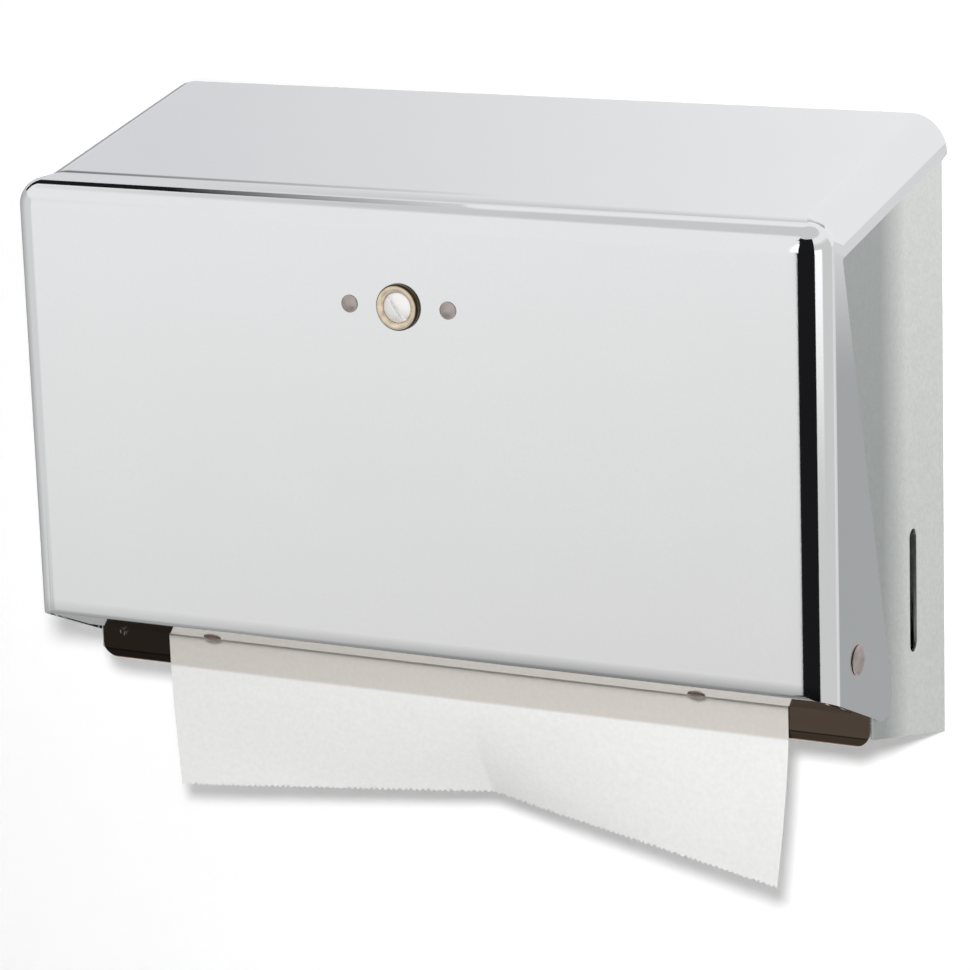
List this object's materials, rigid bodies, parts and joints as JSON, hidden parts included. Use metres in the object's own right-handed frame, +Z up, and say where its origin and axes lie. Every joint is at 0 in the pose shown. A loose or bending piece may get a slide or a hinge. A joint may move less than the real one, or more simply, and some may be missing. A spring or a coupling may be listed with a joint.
{
  "type": "paper towel dispenser",
  "caption": "Wall-mounted dispenser for folded paper towels: bright steel cover with a slotted lock, hinged low on a galvanised cabinet with sight slots.",
  "frame": {"origin": "centre of the four wall screw holes, on the back face of the cabinet", "axes": "+X across the width to the right seen from the front, +Y into the wall, +Z up"},
  "size_m": [0.2862, 0.1, 0.2327],
  "materials": {
    "cover_chrome": "bright satin chrome plate on steel sheet",
    "galvanised": "galvanised steel sheet with fine spangle",
    "lip_steel": "dark galvanised steel sheet",
    "rivet_steel": "plain steel rivets",
    "zinc_yellow": "yellow-passivated zinc plate",
    "plug_white": "pale die-cast plug, satin",
    "tissue": "embossed paper towel"
  },
  "bodies": {
    "cabinet": {"cabinet_shell": "galvanised", "towel_shelf": "lip_steel", "latch_rail": "galvanised", "hinge_rivets": "rivet_steel", "towel_pack": "tissue", "hanging_towel": "tissue"},
    "cover": {"cover_shell": "cover_chrome", "lock_bush": "zinc_yellow", "lock_plate": "galvanised", "lock_rivets": "rivet_steel", "throat_guide": "galvanised", "guide_rivets": "rivet_steel"},
    "lock": {"lock_plug": "plug_white", "lock_cam": "galvanised", "cam_washer": "zinc_yellow", "cam_screw": "rivet_steel"}
  },
  "joints": [
    {"name": "cover_hinge", "type": "hinge", "parent": "cabinet", "child": "cover", "pos_m": [0, -0.076, -0.0545], "axis": [1, 0, 0], "range_deg": [0, 95]},
    {"name": "lock_turn", "type": "hinge", "parent": "cover", "child": "lock", "pos_m": [0, -0.09, 0.049], "axis": [0, 1, 0], "range_deg": [0, 90]}
  ]
}
